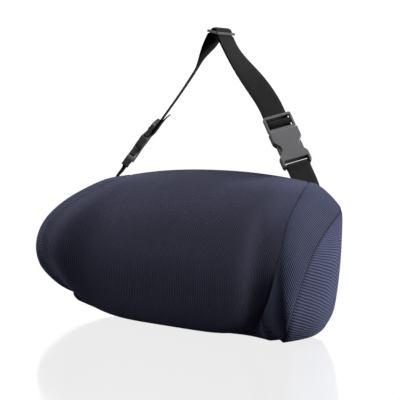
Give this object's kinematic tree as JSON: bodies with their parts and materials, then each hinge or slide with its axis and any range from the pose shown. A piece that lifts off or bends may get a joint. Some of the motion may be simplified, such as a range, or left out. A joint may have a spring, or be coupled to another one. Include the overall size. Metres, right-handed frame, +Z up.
{
  "type": "lumbar support cushion",
  "caption": "Wedge-shaped lumbar cushion with forward wings, zipped spacer-fabric cover over foam, and a webbing chair strap with side-release buckles",
  "frame": {"origin": "On the flat underside, in the middle of the width and half way between the front-most seam and the back panel", "axes": "X along the cushion's width, -Y the front that the user's back leans on, +Y the side that lies on the chair back, +Z up"},
  "size_m": [0.3632, 0.1508, 0.3129],
  "materials": {
    "smooth_fabric": "fine navy spacer mesh",
    "ribbed_fabric": "ribbed navy spacer mesh",
    "liner_cloth": "plain white knit",
    "foam": "open-cell slow-recovery foam",
    "zip_tape": "woven polyester tape",
    "zip_coil": "nylon coil",
    "zip_metal": "nickel-plated zinc",
    "webbing": "woven polypropylene webbing",
    "buckle_plastic": "satin acetal"
  },
  "bodies": {
    "cushion": {"cover_front_panel": "smooth_fabric", "cover_gusset_and_base": "ribbed_fabric", "cover_end_panel_right": "ribbed_fabric", "cover_end_panel_left": "ribbed_fabric", "cover_back_panel_lower": "ribbed_fabric", "cover_back_panel_upper": "ribbed_fabric", "foam_liner": "liner_cloth", "foam_core": "foam", "zip_tape_upper": "zip_tape", "zip_tape_lower": "zip_tape", "zip_teeth_upper": "zip_coil", "zip_teeth_lower": "zip_coil", "zip_stop_start": "zip_metal", "zip_stop_end": "zip_metal", "right_anchor_patch": "webbing", "left_anchor_patch": "webbing"},
    "strap": {"right_stub_webbing": "webbing", "right_buckle_female": "buckle_plastic", "left_stub_webbing": "webbing", "left_buckle_female": "buckle_plastic", "strap_slider": "buckle_plastic", "strap_webbing_right_outer": "webbing", "strap_webbing_right_inner": "webbing", "strap_webbing_left": "webbing", "left_strap_tail": "webbing"},
    "right_plug": {"right_buckle_male": "buckle_plastic", "right_wrap_webbing": "webbing"},
    "left_plug": {"left_buckle_male": "buckle_plastic", "left_wrap_webbing": "webbing"},
    "right_arm_front": {"right_release_arm_front": "buckle_plastic"},
    "right_arm_rear": {"right_release_arm_rear": "buckle_plastic"},
    "left_arm_front": {"left_release_arm_front": "buckle_plastic"},
    "left_arm_rear": {"left_release_arm_rear": "buckle_plastic"},
    "zip_slider": {"zip_slider_body": "zip_metal"},
    "zip_pull": {"zip_pull_tab": "zip_metal"}
  },
  "joints": [
    {"name": "strap_swing", "type": "hinge", "parent": "cushion", "child": "strap", "pos_m": [0, 0.0535, 0.086], "axis": [-1, 0, 0], "range_deg": [0, 110]},
    {"name": "right_buckle_pull", "type": "slide", "parent": "strap", "child": "right_plug", "axis": [-0.5593, 0.1119, 0.8214], "range_m": [0, 0.028]},
    {"name": "left_buckle_pull", "type": "slide", "parent": "strap", "child": "left_plug", "axis": [0.6012, 0.1844, 0.7775], "range_m": [0, 0.028]},
    {"name": "right_arm_front_press", "type": "hinge", "parent": "right_plug", "child": "right_arm_front", "pos_m": [0.07186, 0.063, 0.19797], "axis": [0.6249, -0.5942, 0.5064], "range_deg": [0, 8.5], "stiffness_Nm_per_rad": 0.02},
    {"name": "right_arm_rear_press", "type": "hinge", "parent": "right_plug", "child": "right_arm_rear", "pos_m": [0.08232, 0.07829, 0.20301], "axis": [-0.6249, 0.5942, -0.5064], "range_deg": [0, 8.5], "stiffness_Nm_per_rad": 0.02},
    {"name": "left_arm_front_press", "type": "hinge", "parent": "left_plug", "child": "left_arm_front", "pos_m": [-0.12849, 0.08224, 0.19739], "axis": [-0.6202, -0.5059, 0.5995], "range_deg": [0, 8.5], "stiffness_Nm_per_rad": 0.02},
    {"name": "left_arm_rear_press", "type": "hinge", "parent": "left_plug", "child": "left_arm_rear", "pos_m": [-0.11881, 0.06606, 0.19375], "axis": [0.6202, 0.5059, -0.5995], "range_deg": [0, 8.5], "stiffness_Nm_per_rad": 0.02},
    {"name": "zip_slide", "type": "slide", "parent": "cushion", "child": "zip_slider", "axis": [-1, 0, 0], "range_m": [0, 0.289]},
    {"name": "zip_pull_swing", "type": "hinge", "parent": "zip_slider", "child": "zip_pull", "pos_m": [0.14495, 0.05335, 0.04], "axis": [0, 0, -1], "range_deg": [0, 170]}
  ]
}
